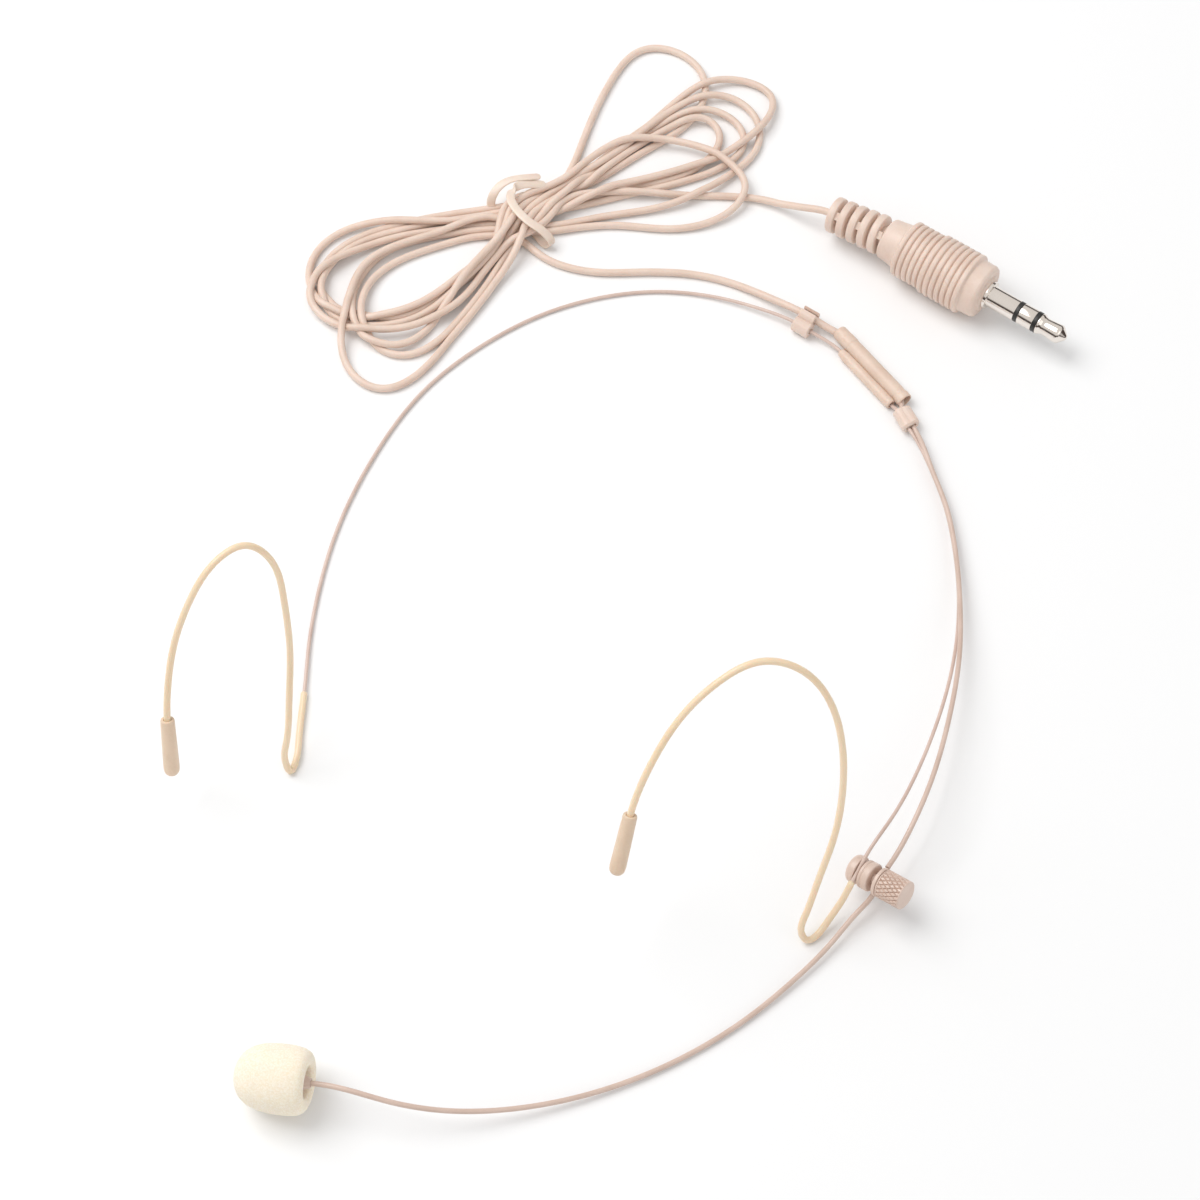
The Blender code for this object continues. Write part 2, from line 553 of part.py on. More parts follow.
def build_plug(looks):
    frame = axis_frame(PLUG_SHOULDER, PLUG_AXIS)
    rod = [(-5.5, 0.0), (-5.5, CORE_R), (TIP_START, CORE_R), (TIP_START, PIN_R - 0.05),
           (TIP_START + 0.08, PIN_R - 0.05), (10.3, 1.28), (10.9, 1.28), (12.3, 1.55),
           (12.8, 1.45), (PIN_LENGTH, 0.45), (PIN_LENGTH, 0.0)]
    turned("plug_tip", rod, frame, looks["nickel"], 20)
    front = [(-4.8, CORE_R + FIT), (-4.8, 0.80), (RING_SPAN[1] + 0.03, 0.80),
             (RING_SPAN[1] + 0.03, PIN_R - 0.03), (TIP_START - 0.03, PIN_R - 0.03),
             (TIP_START - 0.03, CORE_R + FIT)]
    turned("plug_insulator_front", front, frame, looks["black"], 20)
    ring = [(-4.0, 0.85), (-4.0, 1.05), (RING_SPAN[0], 1.05), (RING_SPAN[0], PIN_R),
            (RING_SPAN[1], PIN_R), (RING_SPAN[1], 0.85)]
    turned("plug_ring", ring, frame, looks["nickel"], 20)
    rear = [(-3.2, 1.11), (-3.2, 1.32), (SLEEVE_END + 0.03, 1.32), (SLEEVE_END + 0.03, PIN_R - 0.03),
            (RING_SPAN[0] - 0.03, PIN_R - 0.03), (RING_SPAN[0] - 0.03, 1.11)]
    turned("plug_insulator_rear", rear, frame, looks["black"], 20)
    sleeve = [(-2.5, 1.38), (-2.5, 1.7), (-0.9, 1.7), (-0.9, 2.35), (0.0, 2.35), (0.0, PIN_R),
              (SLEEVE_END, PIN_R), (SLEEVE_END, 1.38)]
    turned("plug_sleeve", sleeve, frame, looks["nickel"], 20)
    body = [(-0.95, 1.76), (-0.95, 4.15), (-1.25, 4.5), (-3.6, 4.57), (-3.7, BODY_R),
            (-11.1, BODY_R), (-11.2, 4.8), (-16.3, 4.8), (-16.5, 3.75), (BODY_END, 3.4),
            (BODY_END, CABLE_R + 0.12), (-6.0, CABLE_R + 0.12), (-6.0, 1.76)]
    turned("plug_body", body, frame, looks["plastic"], 24)
    length = BODY_END - RELIEF_END
    pitch = length / (RELIEF_RINGS + 0.1)
    relief = [(0.0, CABLE_R + 0.12), (0.0, 1.9)]
    for k in range(RELIEF_RINGS):
        start = -0.7 - k * pitch
        radius = 3.3 - 0.07 * k
        relief += [(start, 1.9), (start - 0.1, radius), (start - 1.2, radius), (start - 1.3, 1.9)]
    relief += [(-length, 1.4), (-length, CABLE_R + 0.12)]
    root = PLUG_SHOULDER + PLUG_AXIS * (BODY_END - RELIEF_GAP)
    turned("strain_relief", relief, axis_frame(root, RELIEF_AXIS), looks["plastic"], 16)


def main():
    for old in list(bpy.data.objects):
        bpy.data.objects.remove(old, do_unlink=True)
    looks = {
        "wire": material("wire", (0.62, 0.50, 0.43), 0.35, 0.3),
        "boom": material("boom", (0.66, 0.50, 0.43), 0.4),
        "sleeve": material("sleeve", (0.84, 0.70, 0.48), 0.45),
        "tip": material("tip", (0.72, 0.58, 0.44), 0.5),
        "plastic": material("plastic", (0.77, 0.60, 0.50), 0.45),
        "cord": material("cord", (0.77, 0.61, 0.51), 0.45),
        "clamp": material("clamp", (0.69, 0.51, 0.42), 0.4, 0.2),
        "foam": material("foam", (0.91, 0.81, 0.61), 0.95),
        "metal": material("metal", (0.70, 0.68, 0.64), 0.3, 1.0),
        "nickel": material("nickel", (0.78, 0.75, 0.70), 0.18, 1.0),
        "brass": material("brass", (0.70, 0.55, 0.25), 0.3, 1.0),
        "board": material("board", (0.12, 0.30, 0.14), 0.6),
        "black": material("black", (0.02, 0.02, 0.02), 0.5),
    }
    build_wire(looks)
    build_clamp(looks)
    build_boom(looks)
    build_microphone(looks)
    build_junction(looks)
    build_cable_clip(looks)
    build_collar(looks)
    build_cord(looks)
    build_tie(looks)
    build_plug(looks)
    bpy.context.view_layer.update()


main()
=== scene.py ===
"""Slim double ear-hook headset microphone on a pale floor, with its tied cord and 3.5 mm plug."""
import math

import bmesh
import bpy
import numpy as np
from mathutils import Matrix, Vector, noise


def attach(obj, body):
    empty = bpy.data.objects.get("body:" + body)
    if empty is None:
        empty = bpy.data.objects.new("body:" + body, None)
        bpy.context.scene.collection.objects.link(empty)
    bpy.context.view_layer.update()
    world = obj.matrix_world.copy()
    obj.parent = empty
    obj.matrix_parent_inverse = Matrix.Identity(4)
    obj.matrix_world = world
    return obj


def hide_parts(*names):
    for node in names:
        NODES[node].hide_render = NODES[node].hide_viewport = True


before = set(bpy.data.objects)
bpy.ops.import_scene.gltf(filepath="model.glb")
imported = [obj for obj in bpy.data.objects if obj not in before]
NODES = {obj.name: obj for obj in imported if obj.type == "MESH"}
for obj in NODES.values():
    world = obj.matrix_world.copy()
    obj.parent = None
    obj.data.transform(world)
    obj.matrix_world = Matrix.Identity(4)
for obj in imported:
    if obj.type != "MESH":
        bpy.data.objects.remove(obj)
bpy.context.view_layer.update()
MM = 0.001
scene = bpy.context.scene

# ---- camera -------------------------------------------------------------------------
camera = bpy.data.objects.new("camera", bpy.data.cameras.new("camera"))
scene.collection.objects.link(camera)
camera.location = (0.0035, -0.1968, 0.36373)
camera.rotation_euler = (math.radians(30), 0.0, 0.0)
camera.data.sensor_width = 36.0
camera.data.lens = 83.1
camera.data.clip_start = 0.01
scene.camera = camera


# ---- materials ----------------------------------------------------------------------
def new_material(name, colour, roughness, metallic=0.0):
    made = bpy.data.materials.new(name)
    made.use_nodes = True
    shader = made.node_tree.nodes["Principled BSDF"]
    shader.inputs["Base Color"].default_value = (*colour, 1.0)
    shader.inputs["Roughness"].default_value = roughness
    shader.inputs["Metallic"].default_value = metallic
    return made, made.node_tree, shader


def surface(name, dark, light, roughness, grain=2500.0, bump=0.15, blotch=220.0,
            metallic=0.0, soft=0.0, coat=0.0):
    """A moulded or painted surface: slow blotches of colour and a fine grain."""
    made, tree, shader = new_material(name, light, roughness, metallic)
    link = tree.links.new
    place = tree.nodes.new("ShaderNodeTexCoord")
    slow = tree.nodes.new("ShaderNodeTexNoise")
    slow.inputs["Scale"].default_value = blotch
    slow.inputs["Detail"].default_value = 3.0
    fine = tree.nodes.new("ShaderNodeTexNoise")
    fine.inputs["Scale"].default_value = grain
    fine.inputs["Detail"].default_value = 4.0
    mixed = tree.nodes.new("ShaderNodeMath")
    mixed.operation = "MULTIPLY_ADD"
    mixed.inputs[1].default_value = 0.35
    ramp = tree.nodes.new("ShaderNodeValToRGB")
    ramp.color_ramp.elements[0].position = 0.38
    ramp.color_ramp.elements[0].color = (*dark, 1.0)
    ramp.color_ramp.elements[1].position = 0.82
    ramp.color_ramp.elements[1].color = (*light, 1.0)
    relief = tree.nodes.new("ShaderNodeBump")
    relief.inputs["Strength"].default_value = bump
    relief.inputs["Distance"].default_value = 0.00004
    for texture in (slow, fine):
        link(place.outputs["Object"], texture.inputs["Vector"])
    link(fine.outputs["Fac"], mixed.inputs[0])
    link(slow.outputs["Fac"], mixed.inputs[2])
    link(mixed.outputs[0], ramp.inputs["Fac"])
    link(ramp.outputs["Color"], shader.inputs["Base Color"])
    link(fine.outputs["Fac"], relief.inputs["Height"])
    link(relief.outputs["Normal"], shader.inputs["Normal"])
    if soft:
        shader.inputs["Subsurface Weight"].default_value = soft
        shader.inputs["Subsurface Radius"].default_value = (1.0, 0.6, 0.4)
        shader.inputs["Subsurface Scale"].default_value = 0.0006
    if coat:
        shader.inputs["Coat Weight"].default_value = coat
        shader.inputs["Coat Roughness"].default_value = 0.25
    return made


def foam_material():
    """Open-cell foam: pale walls, with painted shade darkening the fine pores."""
    made, tree, shader = new_material("foam_look", (0.93, 0.83, 0.66), 0.95)
    link = tree.links.new
    place = tree.nodes.new("ShaderNodeTexCoord")
    cells = tree.nodes.new("ShaderNodeTexVoronoi")
    cells.inputs["Scale"].default_value = 4200.0
    fine = tree.nodes.new("ShaderNodeTexNoise")
    fine.inputs["Scale"].default_value = 3400.0
    fine.inputs["Detail"].default_value = 3.0
    mixed = tree.nodes.new("ShaderNodeMath")
    mixed.operation = "MULTIPLY_ADD"
    mixed.inputs[1].default_value = 0.6
    # Painted shade: the ramp's darker end falls in the pits of the bump; the fine noise adds random
    # tone.
    ramp = tree.nodes.new("ShaderNodeValToRGB")
    ramp.color_ramp.elements[0].position = 0.55
    ramp.color_ramp.elements[0].color = (0.96, 0.885, 0.76, 1.0)
    ramp.color_ramp.elements[1].position = 1.05
    ramp.color_ramp.elements[1].color = (0.90, 0.79, 0.62, 1.0)
    relief = tree.nodes.new("ShaderNodeBump")
    relief.inputs["Strength"].default_value = 0.45
    relief.inputs["Distance"].default_value = 0.00008
    relief.invert = True
    for texture in (cells, fine):
        link(place.outputs["Object"], texture.inputs["Vector"])
    link(cells.outputs["Distance"], mixed.inputs[0])
    link(fine.outputs["Fac"], mixed.inputs[2])
    link(mixed.outputs[0], ramp.inputs["Fac"])
    link(ramp.outputs["Color"], shader.inputs["Base Color"])
    link(mixed.outputs[0], relief.inputs["Height"])
    link(relief.outputs["Normal"], shader.inputs["Normal"])
    shader.inputs["Subsurface Weight"].default_value = 0.35
    shader.inputs["Subsurface Radius"].default_value = (1.0, 0.8, 0.5)
    shader.inputs["Subsurface Scale"].default_value = 0.001
    return made


LOOKS = {
    "cord": surface("cord_look", (0.71, 0.545, 0.45), (0.79, 0.635, 0.54), 0.44, soft=0.2, bump=0.08),
    "plastic": surface("plastic_look", (0.71, 0.545, 0.455), (0.79, 0.64, 0.55), 0.42, soft=0.2),
    "barrel": surface("barrel_look", (0.67, 0.495, 0.395), (0.75, 0.585, 0.48), 0.42, soft=0.2),
    "tie": surface("tie_look", (0.75, 0.61, 0.51), (0.83, 0.70, 0.60), 0.36, soft=0.2),
    "wire": surface("wire_look", (0.59, 0.43, 0.365), (0.69, 0.53, 0.455), 0.28, 4000.0, 0.1, coat=0.35),
    "boom": surface("boom_look", (0.57, 0.42, 0.345), (0.67, 0.51, 0.43), 0.30, 4000.0, 0.1, coat=0.35),
    "sleeve": surface("sleeve_look", (0.82, 0.645, 0.44), (0.86, 0.70, 0.505), 0.32, 2600.0, 0.12,
                      90.0, soft=0.35, coat=0.15),
    "tip": surface("tip_look", (0.70, 0.53, 0.385), (0.78, 0.61, 0.46), 0.42, soft=0.2),
    "clamp": surface("clamp_look", (0.66, 0.50, 0.42), (0.75, 0.585, 0.495), 0.33, 5000.0, 0.25,
                     coat=0.15),
    "foam": foam_material(),
    "metal": surface("can_look", (0.62, 0.60, 0.56), (0.72, 0.70, 0.66), 0.3, metallic=1.0),
    "nickel": surface("nickel_look", (0.80, 0.74, 0.68), (0.88, 0.82, 0.77), 0.13, 6000.0, 0.03,
                      metallic=1.0),
    "brass": surface("brass_look", (0.65, 0.50, 0.22), (0.75, 0.60, 0.30), 0.3, metallic=1.0),
    "board": surface("board_look", (0.10, 0.27, 0.12), (0.14, 0.34, 0.16), 0.5),
    "black": surface("black_look", (0.012, 0.012, 0.012), (0.03, 0.028, 0.026), 0.35),
}


# ---- shape tools ----------------------------------------------------------------------
def natural_spline(points, per_span=24):
    """Dense points on the smooth curve through the given ones."""
    knots = np.array([tuple(point) for point in points], dtype=float)
    chord = np.linalg.norm(np.diff(knots, axis=0), axis=1)
    count = len(knots)
    system = np.zeros((count, count))
    target = np.zeros((count, 3))
    system[0, 0] = 1.0
    system[-1, -1] = 1.0
    slope = np.diff(knots, axis=0) / chord[:, None]
    for i in range(1, count - 1):
        system[i, i - 1:i + 2] = chord[i - 1], 2 * (chord[i - 1] + chord[i]), chord[i]
        target[i] = 6 * (slope[i] - slope[i - 1])
    bend = np.linalg.solve(system, target)
    dense = []
    for i, length in enumerate(chord):
        for t in np.linspace(0.0, length, per_span, endpoint=False):
            rest = length - t
            dense.append(
                (bend[i] * rest ** 3 + bend[i + 1] * t ** 3) / (6 * length)
                + (knots[i] / length - bend[i] * length / 6) * rest
                + (knots[i + 1] / length - bend[i + 1] * length / 6) * t)
    dense.append(knots[-1])
    return np.array(dense)


def even(dense, step):
    """The same line, with points at equal distances."""
    run = np.concatenate([[0.0], np.cumsum(np.linalg.norm(np.diff(dense, axis=0), axis=1))])
    count = max(2, int(round(run[-1] / step)) + 1)
    at = np.linspace(0.0, run[-1], count)
    return np.stack([np.interp(at, run, dense[:, k]) for k in range(3)], axis=1)


def add_mesh(name, bm, look, sharp=40.0):
    bmesh.ops.recalc_face_normals(bm, faces=bm.faces)
    mesh = bpy.data.meshes.new(name)
    bm.to_mesh(mesh)
    bm.free()
    mesh.shade_smooth()
    mesh.set_sharp_from_angle(angle=math.radians(sharp))
    mesh.materials.append(LOOKS[look])
    made = bpy.data.objects.new(name, mesh)
    scene.collection.objects.link(made)
    return made


def sweep(bm, path, radii, sides=16, squeeze=None):
    """A round tube along a path in millimetres, closed at both ends."""
    side = Vector((0.0, 0.0, 1.0))
    rings = []
    count = len(path)
    for i in range(count):
        spot = Vector(path[i])
        ahead = Vector(path[min(i + 1, count - 1)]) - Vector(path[max(i - 1, 0)])
        ahead.normalize()
        side = side - ahead * side.dot(ahead)
        if side.length < 0.2:
            side = ahead.orthogonal()
        side.normalize()
        other = ahead.cross(side)
        ring = []
        for k in range(sides):
            turn = 2 * math.pi * k / sides
            reach = radii[i]
            if squeeze is not None:
                reach *= 1.0 + squeeze[i] * math.cos(2 * turn)
            place = spot + (side * math.cos(turn) + other * math.sin(turn)) * reach
            ring.append(bm.verts.new(place * MM))
        rings.append(ring)
    for a, b in zip(rings, rings[1:]):
        for k in range(sides):
            n = (k + 1) % sides
            bm.faces.new((a[k], a[n], b[n], b[k]))
    bm.faces.new(list(reversed(rings[0])))
    bm.faces.new(rings[-1])


def tube(name, path, radius, look, sides=16, round_ends=True, wrinkles=None):
    """A wire or sleeve; wrinkles gives a relative change of radius for each point."""
    path = np.asarray(path)
    radii = np.full(len(path), float(radius))
    squeeze = None
    if wrinkles is not None:
        radii = radii * (1.0 + wrinkles)
        squeeze = wrinkles * 1.5
    if round_ends:
        steps = ((0.0, 0.55), (0.25, 0.85), (0.55, 1.0))
        near = [path[0] + (path[1] - path[0]) / np.linalg.norm(path[1] - path[0]) * radius * s
                for s, _ in steps]
        far = [path[-1] + (path[-2] - path[-1]) / np.linalg.norm(path[-2] - path[-1]) * radius * s
               for s, _ in reversed(steps)]
        path = np.concatenate([near, path[1:-1], far])
        radii = np.concatenate([[radius * r for _, r in steps], radii[1:-1],
                                [radius * r for _, r in reversed(steps)]])
        if squeeze is not None:
            squeeze = np.concatenate([[0.0] * 3, squeeze[1:-1], [0.0] * 3])
    bm = bmesh.new()
    sweep(bm, path, radii, sides, squeeze)
    return add_mesh(name, bm, look, 60.0)


def axis_frame(origin, axis, up=(0.0, 0.0, 1.0)):
    """A placement whose local X runs along axis, in metres."""
    along = Vector(axis).normalized()
    across = Vector(up).cross(along).normalized()
    third = along.cross(across)
    rotation = Matrix((along, across, third)).transposed().to_4x4()
    return Matrix.Translation(Vector(origin) * MM) @ rotation


def rounded(profile, radius, steps=3):
    """The same outline with its corners rounded off."""
    result = []
    count = len(profile)
    for i in range(count):
        here = np.array(profile[i], dtype=float)
        before = np.array(profile[i - 1], dtype=float)
        after = np.array(profile[(i + 1) % count], dtype=float)
        back, ahead = before - here, after - here
        reach = min(radius, 0.4 * np.linalg.norm(back), 0.4 * np.linalg.norm(ahead))
        if here[1] < 1e-9 or reach < 1e-4:
            result.append(tuple(here))
            continue
        start = here + back / np.linalg.norm(back) * reach
        end = here + ahead / np.linalg.norm(ahead) * reach
        for s in range(steps + 1):
            t = s / steps
            spot = (1 - t) ** 2 * start + 2 * t * (1 - t) * here + t ** 2 * end
            result.append((float(spot[0]), float(spot[1])))
    return result


def lathe(bm, profile, place, segments=64, shape=None):
    """Turns a closed outline of (along, radius) points about local X, in millimetres.

    shape(along, turn, radius) gives another radius for each point.
    """
    rows = []
    for along, radius in profile:
        row = []
        for k in range(segments):
            turn = 2 * math.pi * k / segments
            r = radius if shape is None else shape(along, turn, radius)
            local = Vector((along, r * math.cos(turn), r * math.sin(turn))) * MM
            row.append(bm.verts.new(place @ local))
        rows.append(row)
    for a, b in zip(rows, rows[1:] + rows[:1]):
        for k in range(segments):
            n = (k + 1) % segments
            bm.faces.new((a[k], a[n], b[n], b[k]))
    bmesh.ops.remove_doubles(bm, verts=bm.verts, dist=2e-7)
    flat = [face for face in bm.faces if face.calc_area() < 1e-14]
    bmesh.ops.delete(bm, geom=flat, context="FACES")


def turned(name, profile, place, look, segments=64, corner=0.12, sharp=40.0):
    """A turned piece with its corners rounded off."""
    bm = bmesh.new()
    lathe(bm, rounded(profile, corner), place, segments)
    return add_mesh(name, bm, look, sharp)


def block(bm, place, low, high):
    """A box between two corners, in millimetres of the given placement."""
    made = bmesh.ops.create_cube(bm, size=1.0)["verts"]
    size = [(b - a) * MM for a, b in zip(low, high)]
    middle = [(a + b) / 2 * MM for a, b in zip(low, high)]
    for vert in made:
        vert.co = place @ Vector([c * s + m for c, s, m in zip(vert.co, size, middle)])


# ---- sizes and places, as in the CAD model, in millimetres ---------------------------------
WIRE_R = 0.28
SLEEVE_R = 0.5
BOOM_R = 0.38
CAP_BORE_R = 0.53
CAP_BORE_DEPTH = 5.0
SCREW_BORE_R = 0.85
GRIP_ALONG = 1.95
GRIP_ABOVE = 1.60
PINCH_ALONG = 4.41
PINCH_ABOVE = -1.35
GUIDE_START = 3.0
GUIDE_LENGTH = 12.6
KNOB_SEGMENTS = 320
KNURL_ROUND = 20
KNURL_LEAN = 5.2
KNURL_DEPTH = 0.30
KNURL_WIDTH = 1.7
KNURL_START = 5.62
KNURL_END = 9.34
KNURL_FADE = 0.12
FOAM_SEGMENTS = 200
RELIEF_RINGS = 5
RELIEF_PITCH = 1.98
RELIEF_RING_R = 3.3
RELIEF_TAPER = 0.07
RELIEF_RING_WIDTH = 1.35
RELIEF_WEB_HALF = 0.65

CLAMP_HEAD = Vector((39.2, -32.85, 4.22))
CLAMP_AXIS = Vector((0.76, -0.60, 0.25)).normalized()
CLAMP_UP = Vector((-0.44, -0.19, 0.877))
WIRE_DIRECTION = Vector((-0.478, -0.777, -0.409))
FOAM_MOUTH = Vector((-36.0, -65.6, 5.4))
FOAM_AXIS = Vector((-0.97, 0.17, -0.10)).normalized()
PLUG_SHOULDER = Vector((65.9, 66.2, 5.2))
PLUG_AXIS = Vector((0.808, -0.589, 0.0)).normalized()
RELIEF_AXIS = Vector((0.838, -0.539, 0.082)).normalized()
BARREL_TOP = Vector((41.75, 62.0, 1.3))
BARREL_AXIS = Vector((0.594, -0.804, 0.0)).normalized()
GUIDE_OFFSET = Vector((-1.60, -1.18, -0.47))
CLIP_CENTRE = Vector((35.9, 62.9, 1.4))
CLIP_AXIS = Vector((0.82, -0.572, -0.02)).normalized()
COLLAR_CENTRE = Vector((51.5, 45.25, 1.4))
COLLAR_AXIS = Vector((0.42, -0.907, 0.0)).normalized()
COLLAR_ACROSS = COLLAR_AXIS.cross(Vector((0.0, 0.0, 1.0)))
LEFT_TIP = Vector((-57.4, -16.4, 17.7))
LEFT_TIP_AXIS = Vector((-0.01, -0.46, -0.888)).normalized()
RIGHT_TIP = Vector((7.6, -34.9, 25.3))
RIGHT_TIP_AXIS = Vector((-0.20, -0.54, -0.817)).normalized()

LEFT_HOOK = [
    (-56.9, -13.6, 22.4), (-55.4, -9.6, 28.4), (-53.0, -5.9, 33.1), (-49.4, -1.9, 36.6),
    (-45.6, 0.5, 37.0), (-42.6, 0.6, 33.9), (-40.9, -2.2, 26.7), (-40.6, -6.0, 19.0),
    (-41.2, -10.1, 11.6), (-42.0, -13.8, 5.4), (-42.3, -15.5, 1.9), (-41.7, -16.1, 0.65),
    (-41.1, -14.6, 0.55), (-40.8, -10.9, 0.6),
]
HEADBAND = [
    (-40.4, -2.5, 0.6), (-40.2, 4.5, 0.5), (-39.2, 14.5, 0.4), (-36.6, 26.5, 0.4),
    (-31.6, 39.3, 0.4), (-24.5, 51.1, 0.4), (-15.7, 59.7, 0.4), (-6.3, 65.8, 0.4),
    (3.5, 69.4, 0.4), (13.4, 70.6, 0.4), (22.9, 69.1, 0.7), (30.0, 66.3, 1.2),
]
RIGHT_WIRE = [
    (53.2, 41.0, 1.0), (55.1, 35.6, 0.8), (56.6, 30.0, 0.8), (57.5, 23.2, 1.0),
    (57.6, 12.0, 1.8), (56.1, 1.5, 3.0), (52.8, -9.8, 4.6), (48.4, -20.5, 6.5),
    (44.4, -27.8, 7.9),
]
RIGHT_HOOK = [
    (37.7, -37.8, 3.4), (35.7, -40.2, 1.5), (34.1, -42.0, 0.65), (32.9, -42.7, 0.65),
    (31.9, -42.2, 2.0), (32.3, -40.7, 4.6), (34.0, -37.3, 9.4), (35.8, -33.7, 14.7),
    (36.8, -29.4, 21.5), (36.4, -25.6, 28.0), (34.4, -22.3, 34.3), (30.1, -20.3, 39.6),
    (24.6, -20.4, 41.8), (19.4, -22.6, 40.6), (14.0, -26.4, 36.7), (10.6, -30.1, 32.1),
]
BOOM_REAR = [
    (53.6, 40.9, 1.7), (55.0, 35.5, 1.75), (56.6, 29.6, 1.8), (57.55, 22.4, 2.0),
    (57.65, 11.8, 2.9), (56.85, 2.0, 4.1), (54.6, -9.0, 5.5), (51.1, -20.3, 6.3),
    (48.3, -26.7, 6.3), (45.5, -31.6, 5.15),
]
BOOM_FRONT = [
    (39.6, -39.5, 2.35), (36.5, -43.0, 1.5), (30.7, -48.8, 0.9), (23.6, -54.7, 0.6),
    (14.3, -60.5, 0.6), (3.5, -65.1, 0.9), (-7.4, -67.9, 1.9), (-17.2, -68.9, 3.6),
    (-25.0, -68.2, 5.2),
]


def clamp_point(along, above):
    return CLAMP_HEAD + CLAMP_AXIS * along + CLAMP_UP * above


def barrel_point(along, offset=Vector((0.0, 0.0, 0.0))):
    return BARREL_TOP + BARREL_AXIS * along + offset


def mic_point(along):
    return FOAM_MOUTH + FOAM_AXIS * along


# ---- the cord ------------------------------------------------------------------------------
CABLE_R = 0.6
CABLE_STEP = 1.0
# How many of the cord's first and last points settle() leaves where they are.
HELD_FIRST = 30
HELD_LAST = 14
CORD_START = [
    (42.2, 61.3, 1.3), (39.9, 62.7, 1.5), (37.4, 64.1, 2.2), (32.9, 67.2, 1.8),
    (29.2, 69.8, 1.0), (23.6, 72.6, 0.6), (18.0, 74.0, 0.6), (10.0, 74.4, 0.6),
    (3.5, 74.2, 0.6), (-1.8, 75.2, 0.6), (-6.2, 77.5, 0.6), (-9.0, 80.5, 1.0),
]
CORD_END = [
    (-3.0, 88.0, 1.8), (4.0, 90.0, 1.9), (12.0, 90.2, 1.9), (20.0, 90.0, 1.0), (26.0, 89.9, 0.6),
    (29.4, 89.3, 0.6), (31.85, 88.3, 1.1), (33.75, 87.2, 1.9), (35.6, 86.1, 2.8), (37.5, 85.1, 3.6),
    (39.4, 84.35, 4.1), (41.35, 83.35, 4.38), (43.7, 81.85, 4.6),
]
# Each left loop runs out along its upper side and back along its lower one. The last
# number of a loop is how high it lies.
LEFT_LOOPS = {
    "outer": ([(-16, 85), (-23, 84), (-35, 84), (-42, 80), (-44, 75), (-42.5, 69), (-39, 66),
               (-32, 65), (-23, 69), (-18, 74), (-13, 80)], 1.2),
    "high": ([(-13, 87), (-19, 86.5), (-24, 85.3), (-32, 83), (-39, 79), (-42, 73), (-41, 68),
              (-37, 66), (-29, 65), (-20, 71), (-13, 78.5)], 0.6),
    "wide": ([(-16, 84), (-22, 83), (-28, 82), (-37, 78), (-43, 72), (-43, 67), (-39, 63.5),
              (-32, 62), (-24, 64), (-17, 71), (-11, 80)], 1.8),
    "low": ([(-14, 85), (-22, 82), (-30, 79), (-35, 75), (-37, 67), (-38, 60), (-36, 54),
             (-31, 51), (-25, 54.5), (-20, 62), (-15, 70), (-10, 78)], 2.4),
    "inner": ([(-16, 82), (-22, 80), (-29, 77), (-34, 72), (-35, 65), (-33, 60), (-28, 57.5),
               (-21, 62), (-16, 69), (-11, 79)], 1.2),
    "middle": ([(-16, 83), (-24, 81.5), (-31, 79), (-36, 72), (-36.5, 65), (-34, 60.5),
                (-29, 59), (-23, 64.5), (-18, 73), (-12, 81)], 1.8),
    "back": ([(-16, 85.5), (-24, 84.5), (-33, 82), (-40, 77), (-42, 71), (-39, 65), (-33, 63.5),
              (-25, 66), (-18, 73), (-12.5, 80)], 0.9),
}
# Each right loop runs out along its upper side and back along its lower one.
RIGHT_LOOPS = {
    "big": ([(-3, 92), (-1, 96), (2, 106), (6, 116), (11, 122), (17, 121), (21.5, 115),
             (20, 107.5), (16, 103), (9, 98), (1, 92)], 0.6),
    "far": ([(-2, 92), (5, 98.5), (10, 103), (17, 110.5), (22, 114), (28, 114.5), (33, 111),
             (32, 106), (28, 101), (20, 96), (11, 92.5), (1, 88.5)], 2.0),
    "long": ([(0, 93), (7, 99), (15, 107), (19, 110), (25, 111), (30, 106.5), (30, 100),
              (25, 94), (20, 90), (12, 87), (3, 85.5)], 1.6),
    "short": ([(2, 94), (10, 102), (17, 107), (22, 108), (27, 105), (28, 101), (24, 96),
               (17, 93), (9, 91), (2, 88.7)], 1.3),
    "small": ([(2, 93), (10, 100.5), (17, 105), (21, 106.5), (24, 103), (22.5, 98.5),
               (18, 94.5), (12, 92), (3, 89.5)], 1.0),
    "front": ([(-3, 91), (2, 96.5), (8, 100.5), (14, 101), (20, 99.5), (25, 96), (28, 91.5),
               (26, 87), (21, 84), (15, 83), (6, 84)], 3.4),
}
# The order in which the cord runs through its loops, and its lane where it is tied.
LOOP_ORDER = ["inner", "short", "outer", "big", "high", "long", "low", "small", "back", "front",
              "middle", "far", "wide"]
RISING_LANE = {"outer": -3, "back": -2, "middle": -1, "high": 0, "low": 1, "inner": 2, "wide": 3}
RETURN_LANE = {"high": 3, "back": 2, "outer": 1, "wide": 0, "low": -1, "middle": -2}
WAIST = np.array((-9.0, 85.0))


def cord_knots():
    knots = list(CORD_START)
    for name in LOOP_ORDER:
        if name in LEFT_LOOPS:
            spots, height = LEFT_LOOPS[name]
            if name in RETURN_LANE:
                knots.append((-9.3, 84.6 + 1.15 * RETURN_LANE[name], 1.15))
            knots += [(x, y, height) for x, y in spots]
            lane = RISING_LANE[name]
            knots.append((-8.6 + 1.1 * lane, 85.6 - 0.72 * lane, 2.35))
        else:
            spots, height = RIGHT_LOOPS[name]
            knots += [(x, y, height) for x, y in spots]
    return knots + CORD_END


